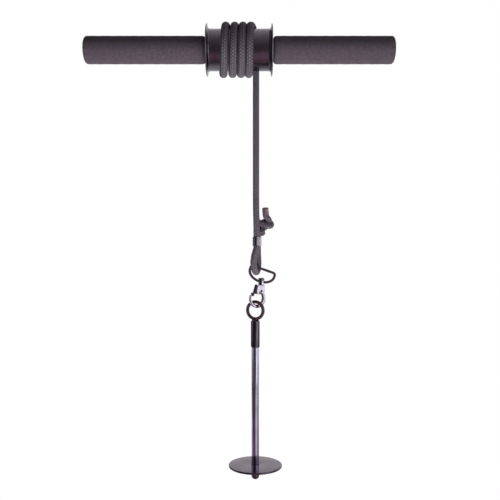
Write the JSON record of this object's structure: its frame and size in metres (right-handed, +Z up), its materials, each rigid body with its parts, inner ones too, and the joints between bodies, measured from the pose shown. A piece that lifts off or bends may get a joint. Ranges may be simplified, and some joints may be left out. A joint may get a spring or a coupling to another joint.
{
  "type": "wrist trainer",
  "caption": "wrist roller with foam grips and a flanged rope drum, its rope carrying a trigger snap hook and a loading pin with a round weight plate",
  "frame": {"origin": "the middle of the roller's axis, halfway between its two grips, where the hands hold it up", "axes": "+X along the roller towards its right grip, +Z up against the hanging rope, +Y away from a viewer who sees the rope come off the back of the drum"},
  "size_m": [0.4496, 0.1069, 0.6729],
  "materials": {
    "tube_steel": "plain turned steel",
    "plug_plastic": "matte black moulded plastic",
    "grip_foam": "fine-celled black foam rubber",
    "black_chrome": "polished black chrome",
    "braid": "dark grey braided cord",
    "crimp_alloy": "pressed bright alloy",
    "black_wire": "satin black coated wire",
    "hook_chrome": "bright die-cast chrome"
  },
  "bodies": {
    "roller": {"bar_tube": "tube_steel", "end_plug_left": "plug_plastic", "end_plug_right": "plug_plastic", "grip_left": "grip_foam", "grip_right": "grip_foam", "drum_shell": "black_chrome", "flange_left": "black_chrome", "flange_right": "black_chrome", "hub_left": "tube_steel", "hub_right": "tube_steel", "hub_pin_left": "tube_steel", "hub_pin_right": "tube_steel", "flange_screw_left_1": "tube_steel", "flange_screw_left_2": "tube_steel", "flange_screw_left_3": "tube_steel", "flange_screw_right_1": "tube_steel", "flange_screw_right_2": "tube_steel", "flange_screw_right_3": "tube_steel", "rope_stop": "tube_steel", "rope_winding": "braid"},
    "rope_end": {"rope_fall": "braid", "rope_loop": "braid", "rope_knot": "braid", "rope_tail": "braid", "ferrule": "crimp_alloy"},
    "dee": {"d_ring": "black_wire"},
    "barrel": {"swivel_barrel": "black_chrome"},
    "hook": {"hook_body": "hook_chrome", "gate_rivet": "tube_steel"},
    "gate": {"gate_lever": "black_chrome", "gate_spring": "tube_steel"},
    "pin": {"eye_ring": "black_wire", "eye_socket": "black_chrome", "pin_rod": "black_chrome", "base_plate": "black_chrome", "cap_nut": "black_chrome"}
  },
  "joints": [
    {"name": "rope_payout", "type": "slide", "parent": "roller", "child": "rope_end", "axis": [0, 0, -1], "range_m": [-0.14, 0.6], "deforming": ["rope_fall"]},
    {"name": "dee_swing", "type": "hinge", "parent": "rope_end", "child": "dee", "pos_m": [0.02485, 0.0339, -0.32344], "axis": [0, 1, 0], "range_deg": [-20, 20]},
    {"name": "barrel_rock", "type": "hinge", "parent": "dee", "child": "barrel", "pos_m": [0.0325, 0.0339, -0.33914], "axis": [0.9763, 0, -0.2165], "range_deg": [-60, 60]},
    {"name": "swivel_turn", "type": "hinge", "parent": "barrel", "child": "hook", "pos_m": [0.0325, 0.0339, -0.33914], "axis": [0, 0, 1], "continuous": true},
    {"name": "gate_open", "type": "hinge", "parent": "hook", "child": "gate", "pos_m": [0.0308, 0.03284, -0.35254], "axis": [0.5299, -0.848, 0], "range_deg": [0, 14], "stiffness_Nm_per_rad": 0.02, "springref_deg": -17.19, "deforming": ["gate_spring"]},
    {"name": "pin_swing", "type": "hinge", "parent": "hook", "child": "pin", "pos_m": [0.02334, 0.02818, -0.37481], "axis": [0.8229, 0.5142, -0.2419], "range_deg": [-30, 30]}
  ]
}
